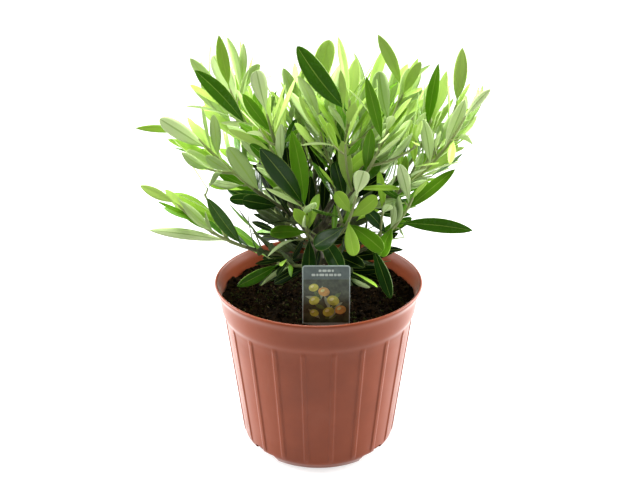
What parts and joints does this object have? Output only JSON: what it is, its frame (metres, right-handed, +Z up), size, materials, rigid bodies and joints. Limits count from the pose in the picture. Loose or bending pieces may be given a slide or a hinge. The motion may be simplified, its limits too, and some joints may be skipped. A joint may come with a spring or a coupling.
{
  "type": "potted olive tree",
  "caption": "Young bushy olive tree with a short trunk, boughs on all sides and narrow leaves, in a ribbed plastic pot on feet with soil and a plain plant label.",
  "frame": {"origin": "on the floor in the middle of the pot's underside", "axes": "+Z up, the label and the front of the plant towards -Y, +X to the right seen from the front"},
  "size_m": [0.3119, 0.2393, 0.3937],
  "materials": {
    "pot": "smooth moulded terracotta-coloured plastic with a soft sheen",
    "soil": "moist dark potting soil with fine fibres and moss",
    "label": "printed plastic card with a pale edge",
    "bark": "grey-brown young bark, pale green on the shoots",
    "foliage": "leathery leaves, glossy above and silvery matte below"
  },
  "bodies": {
    "root": {"pot": "pot", "soil": "soil", "label": "label", "trunk": "bark", "bough_centre": "bark", "bough_left": "bark", "bough_right": "bark", "bough_upper_left": "bark", "bough_front_left": "bark", "bough_upper_right": "bark", "bough_front_right": "bark", "bough_low_left": "bark", "bough_low_right": "bark", "bough_back_left": "bark", "bough_back_right": "bark", "bough_back": "bark", "bough_back_centre": "bark", "bough_low_back_left": "bark", "bough_low_back_right": "bark", "bough_right_front": "bark", "bough_right_back": "bark", "foliage_inner_left": "foliage", "foliage_inner_front": "foliage", "foliage_inner_right": "foliage", "foliage_inner_low_left": "foliage", "foliage_inner_low_right": "foliage", "foliage_inner_back_left": "foliage", "foliage_inner_back_right": "foliage", "foliage_centre": "foliage", "foliage_left": "foliage", "foliage_right": "foliage", "foliage_upper_left": "foliage", "foliage_front_left": "foliage", "foliage_upper_right": "foliage", "foliage_front_right": "foliage", "foliage_low_left": "foliage", "foliage_low_right": "foliage", "foliage_back_left": "foliage", "foliage_back_right": "foliage", "foliage_back": "foliage", "foliage_back_centre": "foliage", "foliage_low_back_left": "foliage", "foliage_low_back_right": "foliage", "foliage_right_front": "foliage", "foliage_right_back": "foliage"}
  },
  "joints": []
}
